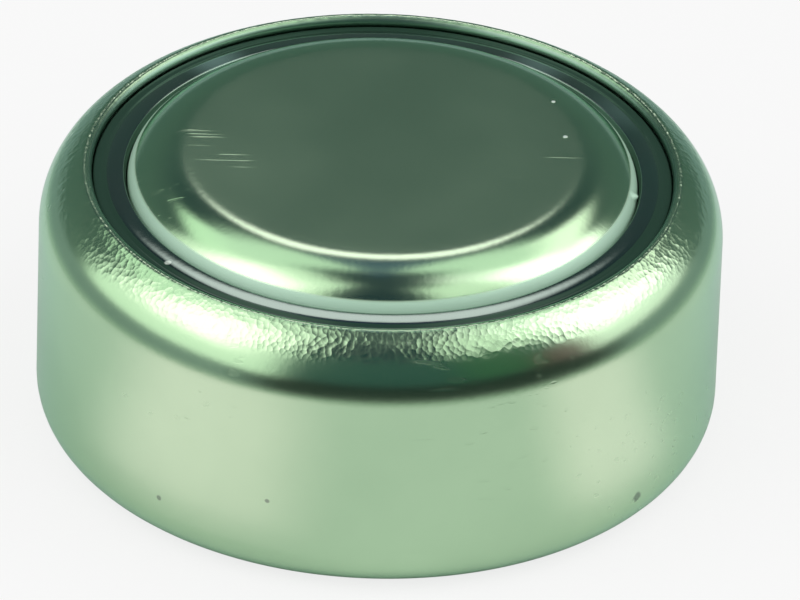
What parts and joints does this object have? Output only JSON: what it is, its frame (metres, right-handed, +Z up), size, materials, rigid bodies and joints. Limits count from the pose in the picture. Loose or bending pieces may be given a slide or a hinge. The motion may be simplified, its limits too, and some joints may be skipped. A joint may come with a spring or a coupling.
{
  "type": "alkaline button cell",
  "caption": "Low round alkaline button cell: steel can crimped over a nylon gasket, with a raised cap as the negative contact.",
  "frame": {"origin": "centre of the can's flat floor, on the positive contact", "axes": "+Z runs up the cell's axis, from the positive contact to the negative contact; the cell is round about it, so X and Y are free"},
  "size_m": [0.0116, 0.0116, 0.0052],
  "materials": {
    "can_plate": "satin nickel plate, peened on the crimp",
    "cathode_mix": "matt pressed powder",
    "ring_plate": "plain nickel plate",
    "barrier_film": "smooth film",
    "absorbent_felt": "non-woven felt",
    "zinc_gel": "grainy grey paste",
    "gasket_nylon": "glossy moulded nylon",
    "cap_plate": "satin nickel plate"
  },
  "bodies": {
    "root": {"positive_can": "can_plate", "cathode_pellet": "cathode_mix", "support_ring": "ring_plate", "separator_barrier": "barrier_film", "absorbent_disc": "absorbent_felt", "anode_gel": "zinc_gel", "sealing_gasket": "gasket_nylon", "negative_cap": "cap_plate"}
  },
  "joints": []
}
